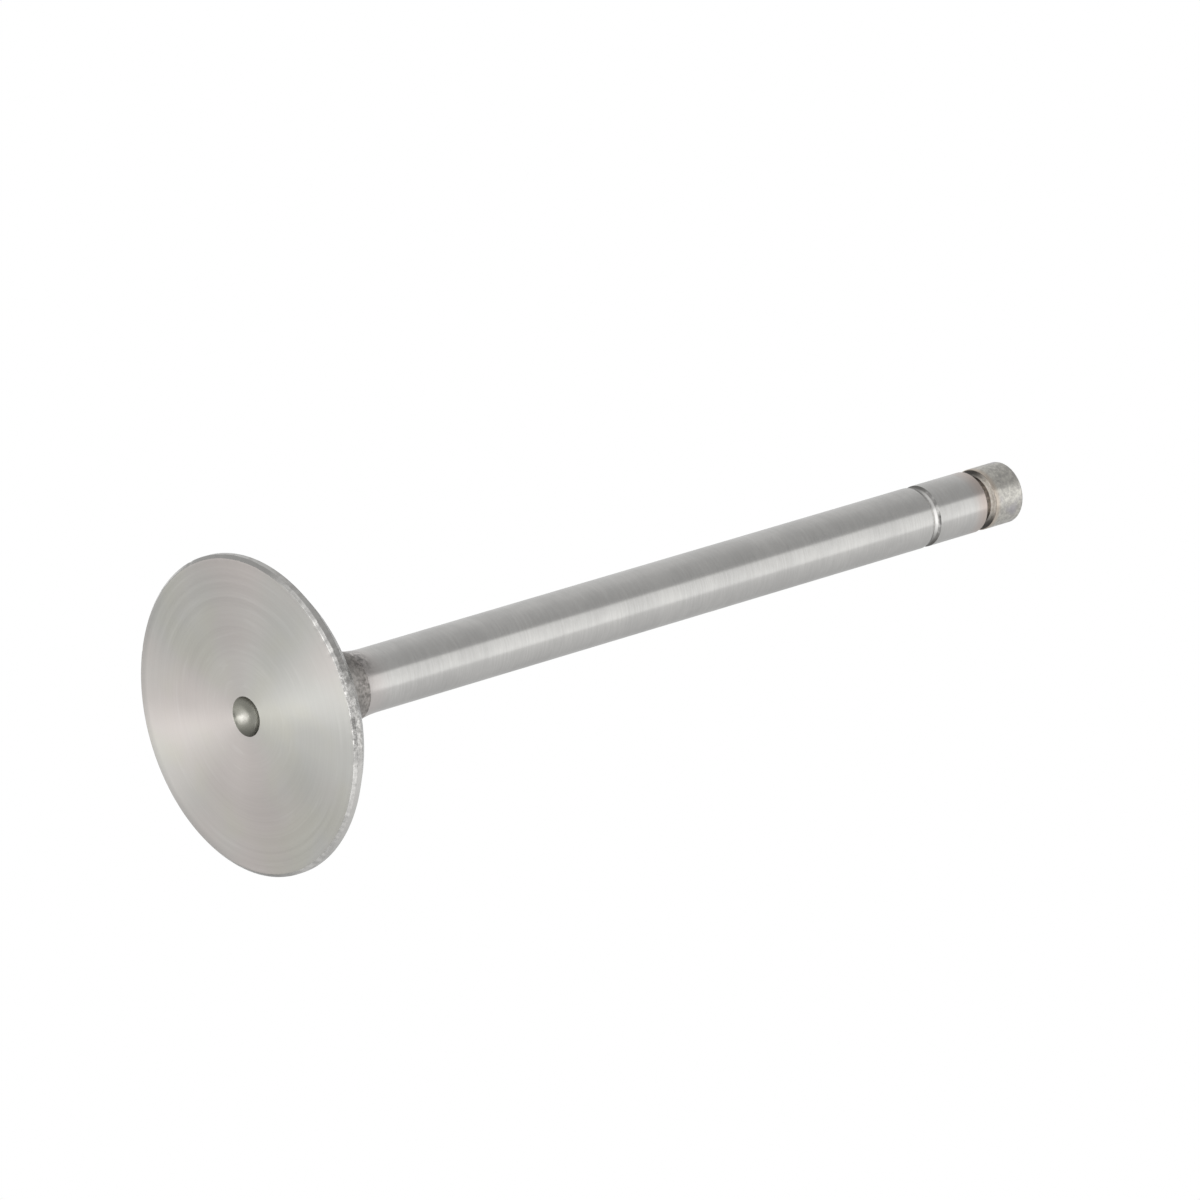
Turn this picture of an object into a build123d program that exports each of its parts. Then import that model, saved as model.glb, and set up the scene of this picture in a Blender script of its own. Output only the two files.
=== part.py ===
from build123d import *
from math import cos, radians, sin, tan
import os

# Poppet valve of a combustion engine, in millimetres. It is one turned and ground steel
# piece. The origin is the centre of the flat combustion face, and +Z runs along the stem
# to the tip, so the valve stands on its head.

# Head, from the combustion face upwards
HEAD_DIAMETER = 39.8
FACE_CHAMFER = 0.35         # broken edge between the face and the margin
MARGIN_HEIGHT = 1.1         # face to the start of the seat, chamfer included
SEAT_ANGLE = 45.0           # seat slope, from the plane of the face
SEAT_WIDTH = 2.8            # along the slope
BACK_ANGLE = 22.0           # slope of the cone behind the seat, from the plane of the face
NECK_RADIUS = 16.0          # concave sweep from the back cone into the stem

# Lathe centre left in the face
DIMPLE_DIAMETER = 5.0
DIMPLE_DEPTH = 1.2

# Stem
VALVE_LENGTH = 128.8        # face to tip
STEM_DIAMETER = 8.0
TIP_CHAMFER = 0.5

# Keeper groove, which holds the two locks of the spring retainer
TIP_COLLAR_LENGTH = 5.2     # tip to the upper wall of the groove
KEEPER_GROOVE_WIDTH = 1.6
KEEPER_GROOVE_DEPTH = 0.8
KEEPER_ROOT_RADIUS = 0.25
KEEPER_LIP_CHAMFER = 0.1

# Ring groove, a shallow round groove for a snap ring
RING_GROOVE_FROM_TIP = 15.85
RING_GROOVE_WIDTH = 1.4
RING_GROOVE_DEPTH = 0.3

# Sizes that follow from those above
head_radius = HEAD_DIAMETER / 2
stem_radius = STEM_DIAMETER / 2

seat_inner_radius = head_radius - SEAT_WIDTH * cos(radians(SEAT_ANGLE))
seat_top = MARGIN_HEIGHT + SEAT_WIDTH * sin(radians(SEAT_ANGLE))
back_cone_run = seat_inner_radius - stem_radius
back_cone_top = seat_top + back_cone_run * tan(radians(BACK_ANGLE))

# The sweep of the neck ends on the back cone, so the cone's length limits it
largest_neck_radius = back_cone_run / (1 - sin(radians(BACK_ANGLE)))
neck_radius = min(NECK_RADIUS, 0.98 * largest_neck_radius)

# A round cutter that sinks DEPTH leaves a mouth of the stated width
dimple_cutter_radius = ((DIMPLE_DIAMETER / 2) ** 2 + DIMPLE_DEPTH**2) / (2 * DIMPLE_DEPTH)
ring_cutter_radius = ((RING_GROOVE_WIDTH / 2) ** 2 + RING_GROOVE_DEPTH**2) / (2 * RING_GROOVE_DEPTH)

keeper_groove_top = VALVE_LENGTH - TIP_COLLAR_LENGTH
keeper_groove_centre = keeper_groove_top - KEEPER_GROOVE_WIDTH / 2
ring_groove_centre = VALVE_LENGTH - RING_GROOVE_FROM_TIP

with BuildPart() as engine_valve:
    # Head, neck and stem are turned as one half section
    with BuildSketch(Plane.XZ) as half_section:
        with BuildLine():
            Polyline(
                (0, 0),
                (head_radius, 0),
                (head_radius, MARGIN_HEIGHT),
                (seat_inner_radius, seat_top),
                (stem_radius, back_cone_top),
                (stem_radius, VALVE_LENGTH),
                (0, VALVE_LENGTH),
                close=True,
            )
        make_face()
        neck_corner = half_section.vertices().sort_by_distance((stem_radius, back_cone_top))[0]
        fillet(neck_corner, neck_radius)
    revolve(axis=Axis.Z)

    # Broken edges of the face and the tip
    face_edge = engine_valve.edges().group_by(Axis.Z)[0]
    chamfer(face_edge, FACE_CHAMFER)
    tip_edge = engine_valve.edges().group_by(Axis.Z)[-1]
    chamfer(tip_edge, TIP_CHAMFER)

    # Lathe centre, a spherical dish in the middle of the face
    with Locations((0, 0, DIMPLE_DEPTH - dimple_cutter_radius)):
        Sphere(dimple_cutter_radius, mode=Mode.SUBTRACT)

    # Keeper groove, square with a rounded root
    with BuildSketch(Plane.XZ) as keeper_section:
        with Locations((stem_radius, keeper_groove_centre)):
            Rectangle(2 * KEEPER_GROOVE_DEPTH, KEEPER_GROOVE_WIDTH)
        root_corners = keeper_section.vertices().group_by(Axis.X)[0]
        fillet(root_corners, KEEPER_ROOT_RADIUS)
    revolve(axis=Axis.Z, mode=Mode.SUBTRACT)

    keeper_lips = (
        engine_valve.edges(Select.LAST)
        .filter_by(GeomType.CIRCLE)
        .group_by(SortBy.RADIUS)[-1]
    )
    chamfer(keeper_lips, KEEPER_LIP_CHAMFER)

    # Ring groove, cut by a round tool
    ring_cutter_centre = stem_radius - RING_GROOVE_DEPTH + ring_cutter_radius
    with BuildSketch(Plane.XZ):
        with Locations((ring_cutter_centre, ring_groove_centre)):
            Circle(ring_cutter_radius)
    revolve(axis=Axis.Z, mode=Mode.SUBTRACT)

engine_valve.part.label = "engine_valve"

os.makedirs("parts", exist_ok=True)
export_step(engine_valve.part, "parts/engine_valve.step")
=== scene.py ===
from math import asin, atan2, cos, hypot, pi, radians, sin
from random import Random

import bmesh
import bpy
from mathutils import Matrix, Vector


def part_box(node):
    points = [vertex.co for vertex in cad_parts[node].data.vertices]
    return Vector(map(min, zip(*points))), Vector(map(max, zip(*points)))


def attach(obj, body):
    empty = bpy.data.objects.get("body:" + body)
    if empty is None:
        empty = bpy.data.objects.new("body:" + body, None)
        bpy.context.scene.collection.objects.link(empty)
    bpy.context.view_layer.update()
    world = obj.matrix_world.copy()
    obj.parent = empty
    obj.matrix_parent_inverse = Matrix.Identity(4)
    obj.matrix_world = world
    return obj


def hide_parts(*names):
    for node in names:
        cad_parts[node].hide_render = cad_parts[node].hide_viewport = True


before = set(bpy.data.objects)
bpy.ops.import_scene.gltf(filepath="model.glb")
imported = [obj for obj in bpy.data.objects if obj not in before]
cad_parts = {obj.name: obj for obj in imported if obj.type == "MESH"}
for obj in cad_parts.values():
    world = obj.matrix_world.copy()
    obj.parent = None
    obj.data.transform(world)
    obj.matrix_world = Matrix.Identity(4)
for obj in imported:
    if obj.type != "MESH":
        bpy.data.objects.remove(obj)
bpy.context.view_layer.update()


# ---------------------------------------------------------------------- valve
# The valve is one piece of heat-resisting steel, forged, turned between centres and ground.
# Its outline is drawn as the lathe cuts it, spun round the axis and nicked at the rim, and
# then each of its surfaces gets its own finish.

MM = 0.001
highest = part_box("engine_valve")[1]
valve_length = highest.z
head_radius = highest.x

dimple_radius = 2.5 * MM
dimple_depth = 1.2 * MM
face_chamfer = 0.35 * MM
nicked_width = 0.8 * MM
margin_height = 1.1 * MM
seat_width = 2.8 * MM
seat_slope = radians(45)
back_slope = radians(22)
neck_radius = 16 * MM
ground_stem_start = 16.4 * MM
stem_radius = 4 * MM
ring_groove_height = valve_length - 15.85 * MM
ring_groove_width = 1.4 * MM
ring_groove_depth = 0.3 * MM
keeper_groove_top = valve_length - 5.2 * MM
keeper_groove_width = 1.6 * MM
keeper_groove_bottom = keeper_groove_top - keeper_groove_width
keeper_groove_depth = 0.8 * MM
tip_chamfer = 0.5 * MM
broken_edge = 0.05 * MM


def straight_cut(outline, start, x, z):
    """Runs the outline on in a straight line to x, z."""
    end = bmesh.ops.extrude_vert_indiv(outline, verts=[start])["verts"][0]
    end.co = (x, 0, z)
    return end


def round_cut(outline, start, centre_x, centre_z, turn, steps):
    """Runs the outline on along an arc about a centre, turning from +Z towards +X."""
    centre = (centre_x, 0, centre_z)
    arc = bmesh.ops.spin(outline, geom=[start], cent=centre, axis=(0, 1, 0), angle=turn, steps=steps)
    return next(part for part in arc["geom_last"] if isinstance(part, bmesh.types.BMVert))


def cutter_radius(width, depth):
    """The radius of a round cutter that leaves a mouth of this width at this depth."""
    return ((width / 2) ** 2 + depth**2) / (2 * depth)


valve = bmesh.new()
corners = []


def corner(point, offset, segments=2):
    """Marks a corner of the outline to be rounded once the outline is whole."""
    corners.append((point, offset, segments))


# Dimple and face
dimple_cutter = cutter_radius(2 * dimple_radius, dimple_depth)
point = valve.verts.new((0, 0, dimple_depth))
dimple_turn = asin(dimple_radius / dimple_cutter)
point = round_cut(valve, point, 0, dimple_depth - dimple_cutter, dimple_turn, 16)
corner(point, broken_edge)
point = straight_cut(valve, point, head_radius - 1.5 * nicked_width, 0)
point = straight_cut(valve, point, head_radius - nicked_width, 0)
point = straight_cut(valve, point, head_radius - face_chamfer, 0)
corner(point, 1.6 * broken_edge, 3)

# Rim, seat and back of the head
point = straight_cut(valve, point, head_radius, face_chamfer)
corner(point, broken_edge)
point = straight_cut(valve, point, head_radius, margin_height)
corner(point, broken_edge)
seat_inner_radius = head_radius - seat_width * cos(seat_slope)
seat_top = margin_height + seat_width * sin(seat_slope)
point = straight_cut(valve, point, seat_inner_radius, seat_top)
corner(point, 2 * broken_edge)

# Neck, an arc that leaves the back cone and runs into the stem
neck_centre_x = stem_radius + neck_radius
neck_run = neck_centre_x - seat_inner_radius
neck_end = seat_top + (neck_radius - neck_run * sin(back_slope)) / cos(back_slope)
neck_start_x = neck_centre_x - neck_radius * sin(back_slope)
neck_start_z = neck_end - neck_radius * cos(back_slope)
point = straight_cut(valve, point, neck_start_x, neck_start_z)
point = round_cut(valve, point, neck_centre_x, neck_end, pi / 2 - back_slope, 28)

# Stem and its round ring groove
ring_cutter = cutter_radius(ring_groove_width, ring_groove_depth)
ring_cutter_x = stem_radius - ring_groove_depth + ring_cutter
ring_turn = 2 * asin(ring_groove_width / 2 / ring_cutter)
point = straight_cut(valve, point, stem_radius, ring_groove_height - ring_groove_width / 2)
corner(point, broken_edge)
point = round_cut(valve, point, ring_cutter_x, ring_groove_height, ring_turn, 14)
corner(point, broken_edge)

# Keeper groove with a rounded root, tip collar and tip
groove_floor = stem_radius - keeper_groove_depth
groove_root = 0.25 * MM
groove_lip = 0.1 * MM
point = straight_cut(valve, point, stem_radius, keeper_groove_bottom)
corner(point, groove_lip, 3)
point = straight_cut(valve, point, groove_floor, keeper_groove_bottom)
corner(point, groove_root, 5)
point = straight_cut(valve, point, groove_floor, keeper_groove_top)
corner(point, groove_root, 5)
point = straight_cut(valve, point, stem_radius, keeper_groove_top)
corner(point, groove_lip, 3)
point = straight_cut(valve, point, stem_radius, valve_length - tip_chamfer)
corner(point, 2 * broken_edge)
point = straight_cut(valve, point, stem_radius - tip_chamfer, valve_length)
corner(point, 2 * broken_edge)
point = straight_cut(valve, point, 0, valve_length)

for point, offset, segments in corners:
    bmesh.ops.bevel(
        valve, geom=[point], offset=offset, segments=segments, profile=0.5, affect="VERTICES", material=-1
    )

# Turning: the outline is spun once round the axis and welded where it meets itself and at
# the two poles. Faces meet smoothly except where a real corner is.
turning_steps = 512
weld = 0.001 * MM
crisp_angle = radians(9)

outline = valve.verts[:] + valve.edges[:]
bmesh.ops.spin(
    valve, geom=outline, cent=(0, 0, 0), axis=(0, 0, 1), angle=2 * pi, steps=turning_steps, use_merge=True
)
bmesh.ops.remove_doubles(valve, verts=valve.verts, dist=weld)
bmesh.ops.recalc_face_normals(valve, faces=valve.faces)

for face in valve.faces:
    face.smooth = True
for edge in valve.edges:
    edge.smooth = edge.calc_face_angle(0) < crisp_angle

# Nicks: the sharp rim has been knocked against other valves in the bin, most often on one
# side. Each knock has pressed a small dent inwards and a little way up.
nick_count = 60
worst_side = radians(-100)
nick_lengths = (0.4 * MM, 1.0 * MM)
nick_depths = (0.015 * MM, 0.05 * MM)
nick_rise = 0.6
nick_start = head_radius - 0.9 * nicked_width
nick_reach = 0.7 * margin_height
knocks = Random(7)
rim_points = [
    (atan2(point.co.y, point.co.x), point)
    for point in valve.verts
    if point.co.z < nick_reach and hypot(point.co.x, point.co.y) > nick_start
]
for knock in range(nick_count):
    bearing = worst_side + knocks.triangular(-pi, pi, 0) * knocks.random()
    half_length = knocks.uniform(*nick_lengths) / 2
    depth = knocks.uniform(*nick_depths)
    for point_bearing, point in rim_points:
        away = abs((point_bearing - bearing + pi) % (2 * pi) - pi) * head_radius / half_length
        if away < 1:
            inward = Vector((-cos(point_bearing), -sin(point_bearing), nick_rise))
            point.co += inward * depth * (1 - away**2)

# Finishes: every surface is bare steel, and its colour, gloss and fine relief follow what
# was done to it, though some of the colour is painted shade and highlight. Tool marks run
# round the axis, and stains and mottling lie across them.


def node(material, kind, inputs=None, **settings):
    """Adds a node with its settings, and links or sets its inputs by name or number."""
    made = material.node_tree.nodes.new("ShaderNode" + kind)
    for name, value in settings.items():
        setattr(made, name, value)
    for name, value in (inputs or {}).items():
        if isinstance(value, bpy.types.NodeSocket):
            material.node_tree.links.new(value, made.inputs[name])
        else:
            made.inputs[name].default_value = value
    return made


def maths(material, operation, *values):
    """The result of one operation on numbers or sockets."""
    return node(material, "Math", dict(enumerate(values)), operation=operation).outputs[0]


def steel(name, grain, roughness):
    """Bare steel whose fine tool marks run round the axis, as strong as grain says."""
    material = bpy.data.materials.new(name)
    material.use_nodes = True
    shader = material.node_tree.nodes["Principled BSDF"]
    shader.inputs["Metallic"].default_value = 1
    shader.inputs["Roughness"].default_value = roughness
    shader.inputs["Anisotropic"].default_value = grain
    shader.inputs["Anisotropic Rotation"].default_value = 0.25
    tangent = node(material, "Tangent", direction_type="RADIAL", axis="Z")
    material.node_tree.links.new(tangent.outputs["Tangent"], shader.inputs["Tangent"])
    return material


def place(material):
    """The point of the surface, in the piece's own frame."""
    return node(material, "TexCoord").outputs["Object"]


def split(material):
    """The point's X, Y and Z."""
    return node(material, "SeparateXYZ", {0: place(material)}).outputs


def height(material):
    """The height above the face."""
    return split(material)["Z"]


def sideways(material):
    """The distance along X to either side of the axis."""
    return maths(material, "ABSOLUTE", split(material)["X"])


def vector_maths(material, operation, inputs):
    """The node that works out one operation on vectors."""
    return node(material, "VectorMath", inputs, operation=operation)


def flat_place(material):
    """The point as seen along the axis, without its height."""
    return vector_maths(material, "MULTIPLY", {0: place(material), 1: (1, 1, 0)}).outputs[0]


def axis_distance(material):
    """The distance from the axis."""
    return vector_maths(material, "LENGTH", {0: flat_place(material)}).outputs["Value"]


def distance_from(material, spot):
    """The distance from a spot on the surface."""
    return vector_maths(material, "DISTANCE", {0: place(material), 1: spot}).outputs["Value"]


def distance_towards(material, direction):
    """How far the point lies from the axis in this direction."""
    return vector_maths(material, "DOT_PRODUCT", {0: place(material), 1: direction}).outputs["Value"]


def marks(material, across, spacing, arc):
    """Noise drawn out into arcs round the axis: spacing apart, and arc times the radius long."""
    round_axis = vector_maths(material, "NORMALIZE", {0: flat_place(material)}).outputs[0]
    spread = vector_maths(material, "SCALE", {0: round_axis, "Scale": 1 / arc}).outputs[0]
    steps = maths(material, "DIVIDE", across, spacing)
    rise = node(material, "CombineXYZ", {"Z": steps}).outputs[0]
    point = vector_maths(material, "ADD", {0: spread, 1: rise}).outputs[0]
    return node(material, "TexNoise", {"Vector": point, "Scale": 1.0, "Detail": 3.0}).outputs[0]


def mottle(material, size, detail=3.0, roughness=0.55):
    """Noise in patches of this size."""
    inputs = {"Vector": place(material), "Scale": 1 / size, "Detail": detail, "Roughness": roughness}
    return node(material, "TexNoise", inputs).outputs[0]


def step(material, value, start, end, low=0.0, high=1.0):
    """Goes smoothly from low to high while the value goes from start to end."""
    inputs = {"Value": value, "From Min": start, "From Max": end, "To Min": low, "To Max": high}
    return node(material, "MapRange", inputs, interpolation_type="SMOOTHSTEP").outputs[0]


def blend(material, share, first, second):
    """The first colour, with the second laid over it by its share."""
    inputs = {0: share, 6: first, 7: second}
    return node(material, "Mix", inputs, data_type="RGBA").outputs[2]


def finish(material, colour, roughness=None, relief=None, relief_depth=0.0, grain=None):
    """Gives the steel its colour, and its gloss, fine relief and grain where they vary."""
    shader = material.node_tree.nodes["Principled BSDF"]
    varied = {"Base Color": colour, "Roughness": roughness, "Anisotropic": grain}
    if relief is not None:
        bump = node(material, "Bump", {"Height": relief, "Distance": relief_depth, "Strength": 1.0})
        varied["Normal"] = bump.outputs[0]
    for name, socket in varied.items():
        if socket is not None:
            material.node_tree.links.new(socket, shader.inputs[name])


# Face: faced off on the lathe, with fine rings and a few rubbed arcs. Its grain is weaker
# towards the middle, and a line of painted shade darkens its edge on one side.
turned_face = steel("turned_face", 1.0, 0.36)
rings = marks(turned_face, axis_distance(turned_face), 0.22 * MM, 3.0)
rubs = marks(turned_face, axis_distance(turned_face), 0.7 * MM, 0.5)
warmth = step(turned_face, mottle(turned_face, 26 * MM, 2.0), 0.38, 0.62)
shade = blend(turned_face, warmth, (0.607, 0.566, 0.542, 1), (0.565, 0.562, 0.535, 1))
yellow = step(turned_face, mottle(turned_face, 11 * MM, 2.0), 0.45, 0.68, 0.0, 0.5)
shade = blend(turned_face, yellow, shade, (0.578, 0.569, 0.495, 1))
lines = step(turned_face, rings, 0.25, 0.75, 0.0, 0.07)
shade = blend(turned_face, lines, shade, (0.42, 0.40, 0.375, 1))
rubs_and_painted_highlight = step(turned_face, rubs, 0.55, 0.75, 0.0, 0.12)
shade = blend(turned_face, rubs_and_painted_highlight, shade, (0.78, 0.77, 0.75, 1))
# Painted shade: a darker line just inside the edge, on the +Y side only.
edge_start = head_radius - 1.5 * MM
edge = step(turned_face, axis_distance(turned_face), edge_start, edge_start + 0.8 * MM, 0.0, 0.35)
painted_shade_side = step(turned_face, split(turned_face)["Y"], 6 * MM, 14 * MM)
painted_rim_shade = maths(turned_face, "MULTIPLY", edge, painted_shade_side)
shade = blend(turned_face, painted_rim_shade, shade, (0.36, 0.355, 0.345, 1))
gloss = step(turned_face, rings, 0.2, 0.8, 0.33, 0.40)
grain = step(turned_face, axis_distance(turned_face), 3 * MM, 11 * MM, 0.8, 1.0)
finish(turned_face, shade, gloss, rings, 0.003 * MM, grain)

# Dimple: drilled for the lathe's centre, with painted shade darkening the hollow on all but one side
dimple_steel = steel("dimple_steel", 0.3, 0.26)
rings = marks(dimple_steel, height(dimple_steel), 0.1 * MM, 2.0)
specks = step(dimple_steel, mottle(dimple_steel, 0.7 * MM), 0.35, 0.65)
shade = blend(dimple_steel, specks, (0.48, 0.47, 0.435, 1), (0.38, 0.37, 0.34, 1))
# Painted shade in the hollow: darker away from one spot, and darkest towards +X.
from_pale_spot = distance_from(dimple_steel, (0, 1.55 * MM, 0.75 * MM))
painted_dimple_shade = step(dimple_steel, from_pale_spot, 0.1 * MM, 1.2 * MM, 0.0, 0.9)
shade = blend(dimple_steel, painted_dimple_shade, shade, (0.27, 0.268, 0.232, 1))
painted_deep_shade = step(dimple_steel, from_pale_spot, 2.0 * MM, 3.2 * MM, 0.0, 0.55)
shade = blend(dimple_steel, painted_deep_shade, shade, (0.10, 0.097, 0.083, 1))
painted_shade_pool = step(dimple_steel, split(dimple_steel)["X"], 0.7 * MM, 2.3 * MM, 0.0, 0.7)
shade = blend(dimple_steel, painted_shade_pool, shade, (0.06, 0.058, 0.05, 1))
finish(dimple_steel, shade, step(dimple_steel, specks, 0.0, 1.0, 0.22, 0.30), rings, 0.002 * MM)

# Rim and seat: ground, with a fine grain round the axis, and a painted highlight on one side.
# The chamfer has painted shade, but where it took most of the knocks it has a beaded painted
# highlight, with dark specks of pits and painted shade by the worst of them.
ground_rim = steel("ground_rim", 0.6, 0.28)
rings = marks(ground_rim, height(ground_rim), 0.08 * MM, 0.5)
specks = step(ground_rim, mottle(ground_rim, 0.9 * MM), 0.4, 0.7)
shade = blend(ground_rim, specks, (0.47, 0.465, 0.45, 1), (0.41, 0.40, 0.385, 1))
# Painted highlight: lighter on the side towards +X and -Y.
to_highlight_side = distance_towards(ground_rim, (0.64, -0.77, 0))
painted_highlight_side = step(ground_rim, to_highlight_side, 14 * MM, 19 * MM, 0.0, 0.8)
shade = blend(ground_rim, painted_highlight_side, shade, (0.64, 0.63, 0.61, 1))
# Painted shade: the chamfer is darker all round.
chamfer_end = face_chamfer - 0.02 * MM
chamfer = step(ground_rim, height(ground_rim), chamfer_end, chamfer_end + 0.09 * MM, 1.0, 0.0)
shade = blend(ground_rim, chamfer, shade, (0.34, 0.335, 0.325, 1))
# Painted highlight: a beaded bright line along the chamfer on one side.
to_rubbed_side = distance_towards(ground_rim, (0.4, -0.92, 0))
painted_bead_side = step(ground_rim, to_rubbed_side, 4 * MM, 10 * MM)
beads = step(ground_rim, mottle(ground_rim, 1.0 * MM), 0.38, 0.60, 0.55, 1.0)
rubs_and_painted_highlight = maths(ground_rim, "MULTIPLY", maths(ground_rim, "MULTIPLY", chamfer, painted_bead_side), beads)
shade = blend(ground_rim, rubs_and_painted_highlight, shade, (0.68, 0.67, 0.65, 1))
# Dark specks by the worst knocks: pits, and painted shade along the edge.
from_worst_knocks = distance_from(ground_rim, (2.4 * MM, -19.7 * MM, 0))
worst_knocks = step(ground_rim, from_worst_knocks, 4 * MM, 9 * MM, 1.0, 0.0)
pits_and_painted_shade = step(ground_rim, mottle(ground_rim, 0.5 * MM, 5.0, 0.75), 0.36, 0.58, 0.0, 0.75)
pits_and_painted_shade = maths(ground_rim, "MULTIPLY", pits_and_painted_shade, worst_knocks)
shade = blend(ground_rim, pits_and_painted_shade, shade, (0.20, 0.197, 0.19, 1))
finish(ground_rim, shade, step(ground_rim, specks, 0.0, 1.0, 0.22, 0.36), rings, 0.003 * MM)

# Neck: as forged and shot-blasted, with specks of dark scale where grinding stopped, and
# painted shade on its -X side
raw_neck = steel("raw_neck", 0.2, 0.44)
blast = mottle(raw_neck, 0.35 * MM, 4.0, 0.65)
patches = step(raw_neck, mottle(raw_neck, 1.3 * MM, 5.0, 0.7), 0.3, 0.7)
shade = blend(raw_neck, patches, (0.325, 0.313, 0.298, 1), (0.225, 0.214, 0.20, 1))
specks = step(raw_neck, mottle(raw_neck, 0.5 * MM, 5.0, 0.75), 0.36, 0.62)
scale = blend(raw_neck, specks, (0.48, 0.45, 0.425, 1), (0.165, 0.155, 0.146, 1))
scale_start = ground_stem_start - 4.4 * MM
scaled = step(raw_neck, height(raw_neck), scale_start, scale_start + 3.2 * MM, 0.0, 0.8)
shade = blend(raw_neck, scaled, shade, scale)
# Painted shade: darker on the -X side of the neck.
neck_shade_start = ground_stem_start - 6.4 * MM
painted_neck_shade = step(raw_neck, height(raw_neck), neck_shade_start, neck_shade_start + 5.0 * MM, 0.0, 0.2)
neck_shade_side = step(raw_neck, split(raw_neck)["X"], 0.0, -4.0 * MM)
painted_neck_shade = maths(raw_neck, "MULTIPLY", painted_neck_shade, neck_shade_side)
shade = blend(raw_neck, painted_neck_shade, shade, (0.085, 0.083, 0.08, 1))
finish(raw_neck, shade, step(raw_neck, patches, 0.0, 1.0, 0.38, 0.5), blast, 0.05 * MM)

# Stem: ground between centres, with a faint heat tint next to the neck and the keeper groove,
# and dark specks of painted shade on its -X side beside the neck
ground_stem = steel("ground_stem", 0.6, 0.24)
rings = marks(ground_stem, height(ground_stem), 0.22 * MM, 0.8)
clouds = step(ground_stem, mottle(ground_stem, 5 * MM, 4.0), 0.36, 0.64)
lines = step(ground_stem, rings, 0.3, 0.7, 0.0, 0.16)
shade = blend(ground_stem, clouds, (0.545, 0.539, 0.524, 1), (0.505, 0.500, 0.487, 1))
shade = blend(ground_stem, lines, shade, (0.33, 0.325, 0.31, 1))
neck_heat_start = ground_stem_start + 0.2 * MM
neck_heat = step(ground_stem, height(ground_stem), neck_heat_start, neck_heat_start + 3.9 * MM, 0.6, 0.0)
shade = blend(ground_stem, neck_heat, shade, (0.57, 0.528, 0.508, 1))
tip_heat_start = keeper_groove_bottom - 2.7 * MM
tip_heat = step(ground_stem, height(ground_stem), tip_heat_start, tip_heat_start + 2.6 * MM, 0.0, 0.8)
shade = blend(ground_stem, tip_heat, shade, (0.50, 0.425, 0.385, 1))
specks = step(ground_stem, mottle(ground_stem, 0.5 * MM, 5.0, 0.75), 0.40, 0.58)
# Painted shade: dark specks on the -X side beside the neck.
stem_shade_start = ground_stem_start + 0.3 * MM
painted_stem_shade = step(ground_stem, height(ground_stem), stem_shade_start, stem_shade_start + 1.9 * MM, 0.7, 0.0)
stem_shade_side = step(ground_stem, split(ground_stem)["X"], -0.8 * MM, -2.6 * MM)
painted_stem_shade = maths(ground_stem, "MULTIPLY", painted_stem_shade, stem_shade_side)
painted_stem_shade = maths(ground_stem, "MULTIPLY", painted_stem_shade, specks)
shade = blend(ground_stem, painted_stem_shade, shade, (0.12, 0.115, 0.11, 1))
finish(ground_stem, shade, step(ground_stem, clouds, 0.0, 1.0, 0.23, 0.26), rings, 0.0015 * MM)

# Ring groove: rolled bright, with painted shade along its upper edge and on two opposite sides
ring_groove_steel = steel("ring_groove_steel", 0.3, 0.26)
# Painted shade: darker along the groove's upper edge.
edge_shade_start = ring_groove_height + 0.25 * MM
painted_edge_shade = step(ring_groove_steel, height(ring_groove_steel), edge_shade_start, edge_shade_start + 0.15 * MM)
specks = step(ring_groove_steel, mottle(ring_groove_steel, 0.6 * MM), 0.3, 0.6, 0.4, 0.9)
painted_edge_shade = maths(ring_groove_steel, "MULTIPLY", painted_edge_shade, specks)
shade = blend(ring_groove_steel, painted_edge_shade, (0.77, 0.76, 0.74, 1), (0.30, 0.295, 0.285, 1))
# Painted shade: darker on the two opposite sides towards +X and -X.
painted_ring_side_shade = step(ring_groove_steel, sideways(ring_groove_steel), 1.8 * MM, 3.8 * MM, 0.0, 0.95)
shade = blend(ring_groove_steel, painted_ring_side_shade, shade, (0.12, 0.117, 0.11, 1))
finish(ring_groove_steel, shade)

# Keeper groove: a stained floor, and walls with a thin pale oxide that takes the shine off.
# Painted shade darkens it on the two opposite sides, towards +X and -X.
stained_groove = steel("stained_groove", 0.3, 0.42)
specks = step(stained_groove, mottle(stained_groove, 0.5 * MM), 0.35, 0.65)
shade = blend(stained_groove, specks, (0.29, 0.25, 0.215, 1), (0.16, 0.138, 0.12, 1))
# Painted shade on the floor's two opposite sides.
painted_keeper_side_shade = step(stained_groove, sideways(stained_groove), 1.4 * MM, 3.0 * MM, 0.0, 0.9)
shade = blend(stained_groove, painted_keeper_side_shade, shade, (0.05, 0.045, 0.04, 1))
finish(stained_groove, shade, step(stained_groove, specks, 0.0, 1.0, 0.36, 0.48), specks, 0.004 * MM)

oxide_wall = steel("oxide_wall", 0.3, 0.45)
oxide_wall.node_tree.nodes["Principled BSDF"].inputs["Metallic"].default_value = 0.1
specks = step(oxide_wall, mottle(oxide_wall, 0.6 * MM), 0.35, 0.65)
shade = blend(oxide_wall, specks, (0.95, 0.90, 0.83, 1), (0.72, 0.67, 0.60, 1))
# Painted shade on the walls' two opposite sides.
painted_keeper_side_shade = step(oxide_wall, sideways(oxide_wall), 1.6 * MM, 3.6 * MM)
shade = blend(oxide_wall, painted_keeper_side_shade, shade, (0.06, 0.055, 0.048, 1))
finish(oxide_wall, shade)

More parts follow.
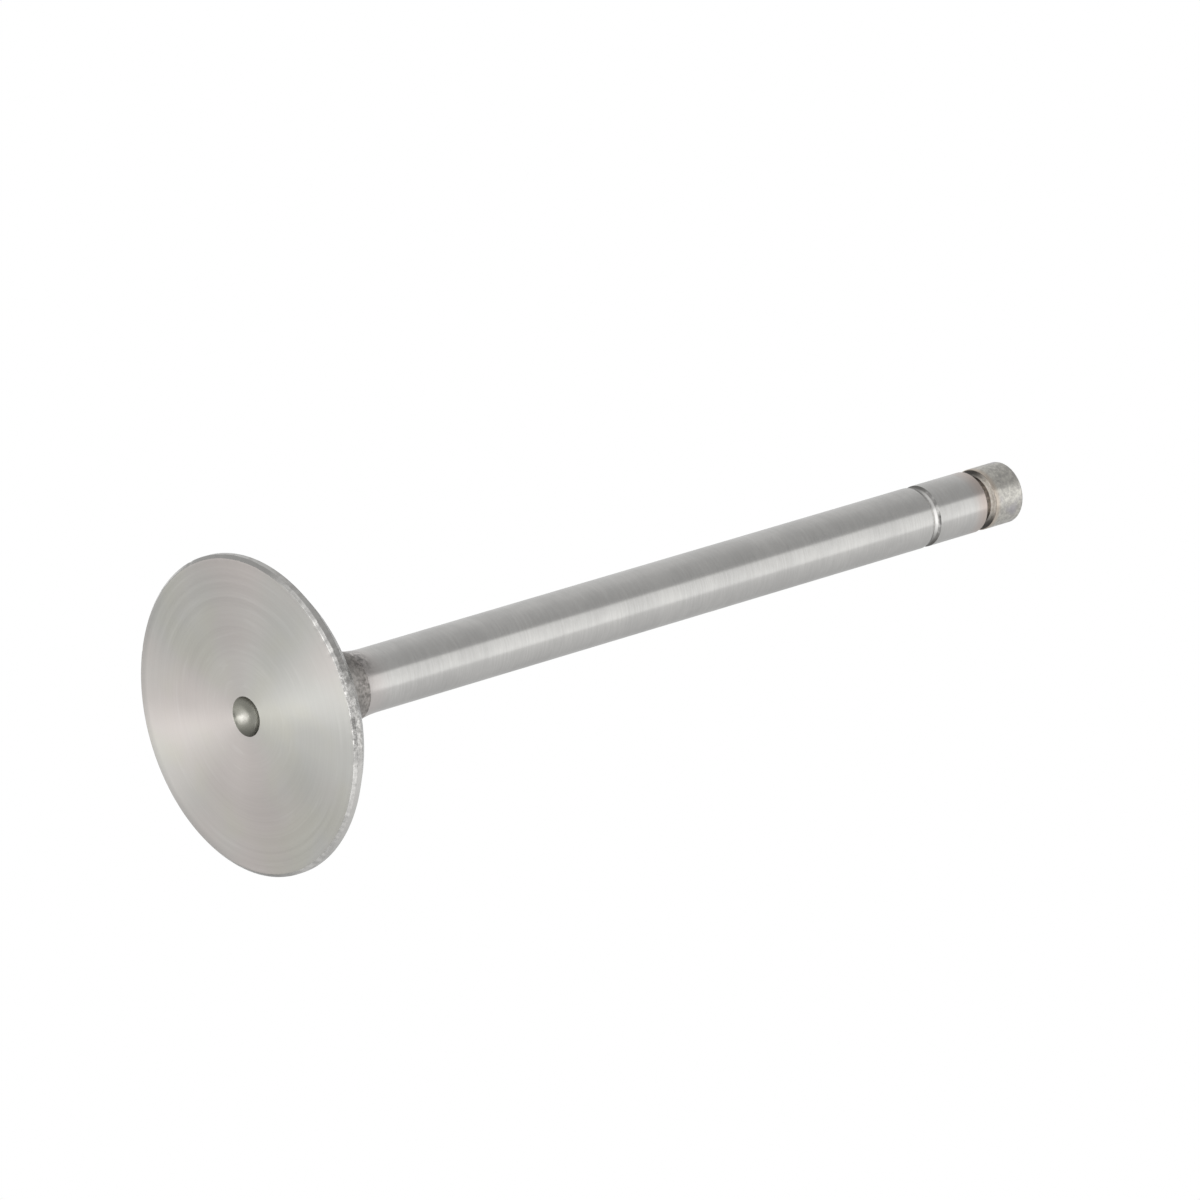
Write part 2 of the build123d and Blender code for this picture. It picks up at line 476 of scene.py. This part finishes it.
# Tip: hardened, dull and mottled, with darker blue-grey patches and a tan line of heat
# beside the keeper groove
hardened_tip = steel("hardened_tip", 0.4, 0.32)
rings = marks(hardened_tip, height(hardened_tip), 0.1 * MM, 0.6)
patches = step(hardened_tip, mottle(hardened_tip, 0.6 * MM, 5.0, 0.75), 0.34, 0.66)
shade = blend(hardened_tip, patches, (0.59, 0.577, 0.53, 1), (0.375, 0.364, 0.342, 1))
blue = step(hardened_tip, mottle(hardened_tip, 4.5 * MM), 0.52, 0.66, 0.0, 0.6)
shade = blend(hardened_tip, blue, shade, (0.38, 0.365, 0.40, 1))
tan_start = keeper_groove_top + 0.2 * MM
tan = step(hardened_tip, height(hardened_tip), tan_start, tan_start + 0.8 * MM, 0.7, 0.0)
shade = blend(hardened_tip, tan, shade, (0.50, 0.43, 0.36, 1))
finish(hardened_tip, shade, step(hardened_tip, patches, 0.0, 1.0, 0.28, 0.38), rings, 0.0015 * MM)

finishes = [
    turned_face, dimple_steel, ground_rim, raw_neck, ground_stem,
    ring_groove_steel, stained_groove, oxide_wall, hardened_tip,
]
face_end = head_radius - 1.2 * face_chamfer
face_top = 0.1 * face_chamfer
lip_start = stem_radius - 0.02 * MM


def finish_of(x, z):
    """Which finish the valve has at this distance from the axis and this height."""
    if z < dimple_depth and x < dimple_radius:
        return dimple_steel
    if z < face_top and x < face_end:
        return turned_face
    if z < seat_top:
        return ground_rim
    if z < ground_stem_start:
        return raw_neck
    if abs(z - ring_groove_height) < ring_groove_width / 2:
        return ring_groove_steel
    if keeper_groove_bottom < z < keeper_groove_top + weld and x < lip_start:
        return oxide_wall if x > groove_floor + weld else stained_groove
    if z > keeper_groove_top:
        return hardened_tip
    return ground_stem


for face in valve.faces:
    middle = face.calc_center_median()
    face.material_index = finishes.index(finish_of(hypot(middle.x, middle.y), middle.z))

valve_mesh = bpy.data.meshes.new("valve_steel")
valve.to_mesh(valve_mesh)
valve.free()
for material in finishes:
    valve_mesh.materials.append(material)
valve_piece = bpy.data.objects.new("valve_steel", valve_mesh)
bpy.context.scene.collection.objects.link(valve_piece)
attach(valve_piece, "root")
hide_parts("engine_valve")


# ---------------------------------------------------------------------- floor
# A plain pale table top, which keeps the valve's shadow. Only the camera sees it, and only
# from above, so that the valve's face can be lit and looked at from below.

floor_radius = 3.0
floor_gap = 0.02 * MM
floor_colour = (0.82, 0.82, 0.82, 1)

floor_shape = bmesh.new()
bmesh.ops.create_circle(floor_shape, cap_ends=True, segments=96, radius=floor_radius)
bmesh.ops.translate(floor_shape, verts=floor_shape.verts, vec=(0, 0, -floor_gap))
floor_mesh = bpy.data.meshes.new("floor")
floor_shape.to_mesh(floor_mesh)
floor_shape.free()
floor = bpy.data.objects.new("floor", floor_mesh)
bpy.context.scene.collection.objects.link(floor)

floor_paint = bpy.data.materials.new("floor_paint")
floor_paint.use_nodes = True
floor_paint.node_tree.nodes.clear()
from_camera = node(floor_paint, "LightPath").outputs["Is Camera Ray"]
from_below = node(floor_paint, "NewGeometry").outputs["Backfacing"]
from_above = node(
    floor_paint, "Math", {0: from_camera, 1: from_below}, operation="SUBTRACT", use_clamp=True
)
clear = node(floor_paint, "BsdfTransparent").outputs[0]
paint = node(floor_paint, "BsdfDiffuse", {"Color": floor_colour}).outputs[0]
surface = node(floor_paint, "MixShader", {0: from_above.outputs[0], 1: clear, 2: paint}).outputs[0]
node(floor_paint, "OutputMaterial", {"Surface": surface})
floor_mesh.materials.append(floor_paint)


# ---------------------------------------------------------------------- studio
# A white room. Round the valve, and seen only in its steel, stands a closed drum of grey
# paper and soft boxes, with one more soft box under the face. A lamp in front of the drum's
# brightest stretch throws the shadow.

room_strength = 0.55

world = bpy.data.worlds.new("white_room")
bpy.context.scene.world = world
world.use_nodes = True
path = node(world, "LightPath").outputs
seen = maths(world, "MAXIMUM", path["Is Camera Ray"], path["Is Glossy Ray"])
seen = maths(world, "MAXIMUM", seen, path["Is Transmission Ray"])
background = world.node_tree.nodes["Background"]
background.inputs["Color"].default_value = (1, 1, 1, 1)
world.node_tree.links.new(step(world, seen, 0, 1, room_strength, 1.0), background.inputs["Strength"])


def glow(shape, name):
    """Makes a shape into a sheet that shows only in reflections, and gives it bare paint."""
    mesh = bpy.data.meshes.new(name)
    shape.to_mesh(mesh)
    shape.free()
    sheet = bpy.data.objects.new(name, mesh)
    bpy.context.scene.collection.objects.link(sheet)
    sheet.visible_camera = False
    sheet.visible_diffuse = False
    sheet.visible_shadow = False
    paint = bpy.data.materials.new(name)
    paint.use_nodes = True
    paint.node_tree.nodes.clear()
    mesh.materials.append(paint)
    return sheet, paint


def shine(paint, strength):
    """Lets the paint glow white."""
    light = node(paint, "Emission", {"Color": (1, 1, 1, 1), "Strength": strength}).outputs[0]
    node(paint, "OutputMaterial", {"Surface": light})


def shade_ramp(paint, angle, shades):
    """A grey that runs through the shades while the angle passes the degrees beside them."""
    start = shades[0][0]
    span = shades[-1][0] - start
    share = maths(paint, "MULTIPLY_ADD", angle, 1 / radians(span), -start / span)
    ramp = node(paint, "ValToRGB", {0: share})
    stops = ramp.color_ramp.elements
    stops.remove(stops[1])
    for degrees, shade in shades:
        stops.new((degrees - start) / span).color = (shade, shade, shade, 1)
    stops.remove(stops[0])
    return ramp.outputs["Color"]


def bent_sheet(name, radius, bearings, levels, steps):
    """The paint of a new upright sheet, bent round the axis between two bearings and levels."""
    start, end = [radians(bearing) for bearing in bearings]
    shape = bmesh.new()
    foot = shape.verts.new((-sin(start) * radius, -cos(start) * radius, levels[0]))
    head = bmesh.ops.extrude_vert_indiv(shape, verts=[foot])["verts"][0]
    head.co.z = levels[1]
    bmesh.ops.spin(
        shape, geom=[foot, head, *head.link_edges], cent=(0, 0, 0), axis=(0, 0, 1),
        angle=start - end, steps=steps, use_merge=bearings[0] - bearings[1] == 360,
    )
    return glow(shape, name)[1]


# Drum: its shade goes by the bearing in degrees, from -Y towards -X
drum_radius = 0.9
drum_reach = 1.7
drum_brightest = 1.5
drum_shades = [
    (0, 1.19), (9, 1.17), (14, 0.56), (35, 0.60), (67, 0.67), (97, 0.80), (180, 0.83), (205, 0.64),
    (228, 0.64), (254, 0.74), (286, 0.84), (308, 0.95), (313, 0.97), (317, 1.42), (337, 1.30),
    (360, 1.19),
]

drum_paint = bent_sheet("paper_drum", drum_radius, (180, -180), (-drum_reach, drum_reach), 96)
from_back = maths(drum_paint, "ARCTAN2", split(drum_paint)["X"], split(drum_paint)["Y"])
bearing = maths(drum_paint, "ADD", from_back, pi)
drum_greys = [(degrees, shade / drum_brightest) for degrees, shade in drum_shades]
ramp = shade_ramp(drum_paint, bearing, drum_greys)
shine(drum_paint, maths(drum_paint, "MULTIPLY", ramp, drum_brightest))


def drum_cap(name, level):
    """The paint of a new round sheet across the drum at this level."""
    shape = bmesh.new()
    bmesh.ops.create_circle(shape, cap_ends=True, segments=96, radius=drum_radius)
    bmesh.ops.translate(shape, verts=shape.verts, vec=(0, 0, level))
    return glow(shape, name)[1]


# Drum's ends: grey paper below, and a round soft box in the middle of the lid above
shine(drum_cap("paper_end", -drum_reach), 0.82)
lid_paint = drum_cap("paper_lid", drum_reach)
shine(lid_paint, step(lid_paint, axis_distance(lid_paint), 0.3, 0.6, 1.8, 0.4))

# Face light: a soft box under the face, which also lights what is matt. Its shade opens like
# a fan, by degrees towards +X from its hinge, and has a soft edge and a hard one.
face_light_distance = 0.6
face_light_start = (-0.66, -0.45)
face_light_end = (0.75, 0.22)
fan_hinge = 1.187 * face_light_distance
fan_grey = 0.82
fan_glow = 1.4
fan_shades = [
    (-60, 0.0), (-24, 0.03), (-12, 0.5), (0, 0.93), (9, 1.0), (10.5, 0.40), (35, 0.2), (60, 0.0),
]

box_shape = bmesh.new()
box_size = [end - start for start, end in zip(face_light_start, face_light_end)]
box_middle = [(end + start) / 2 for start, end in zip(face_light_start, face_light_end)]
bmesh.ops.create_grid(
    box_shape, x_segments=1, y_segments=1, size=0.5,
    matrix=Matrix.Translation((*box_middle, -face_light_distance)) @ Matrix.Diagonal((*box_size, 1, 1)),
)
face_light, box_paint = glow(box_shape, "face_light")
face_light.visible_diffuse = True
from_hinge = maths(box_paint, "SUBTRACT", fan_hinge, split(box_paint)["Y"])
fan_turn = maths(box_paint, "ARCTAN2", split(box_paint)["X"], from_hinge)
ramp = shade_ramp(box_paint, fan_turn, fan_shades)
shine(box_paint, maths(box_paint, "MULTIPLY_ADD", ramp, fan_glow, fan_grey))

# Inside the drum's wall, dark cloth hides the camera and whoever stands beside it, a soft box
# lights the back, and more cloth hangs high on one side to darken the neck
inner_radius = drum_radius - 0.05
shine(bent_sheet("camera_screen", inner_radius, (-48, -14), (-1.15, -0.12), 24), 0.25)
shine(bent_sheet("back_light", inner_radius, (152, 196), (-0.42, 0.35), 24), 1.25)
shine(bent_sheet("high_cloth", inner_radius, (20, 175), (1.05, 1.68), 24), 0.3)

# Key lamp: throws the valve's soft shadow on the floor
key_distance = 2.2
key_bearing = radians(-17)
key_rise = radians(48)
key_data = bpy.data.lights.new("key_lamp", "AREA")
key_data.shape = "DISK"
key_data.size = 0.8
key_data.energy = 24
key_lamp = bpy.data.objects.new("key_lamp", key_data)
bpy.context.scene.collection.objects.link(key_lamp)
key_way = Vector((-sin(key_bearing) * cos(key_rise), -cos(key_bearing) * cos(key_rise), sin(key_rise)))
key_lamp.location = key_way * key_distance
key_lamp.rotation_euler = key_way.to_track_quat("Z", "Y").to_euler()
key_lamp.visible_glossy = False


# ---------------------------------------------------------------------- camera
# The camera looks up at the face from far off, through a long lens, and is rolled so that
# the stem lies up to the right across the picture.

camera_aim = Vector((-1.35 * MM, 0, 58.44 * MM))
camera_distance = 1.1537
camera_pitch = radians(40.1)
camera_roll = radians(73.48)

camera_data = bpy.data.cameras.new("camera")
camera_data.lens = 279
camera_data.sensor_width = 36
camera = bpy.data.objects.new("camera", camera_data)
bpy.context.scene.collection.objects.link(camera)
turn = Matrix.Rotation(pi / 2 + camera_pitch, 4, "X") @ Matrix.Rotation(camera_roll, 4, "Z")
forward = turn @ Vector((0, 0, -1))
camera.matrix_world = Matrix.Translation(camera_aim - forward * camera_distance) @ turn
bpy.context.scene.camera = camera
bpy.context.scene.view_settings.view_transform = "Standard"
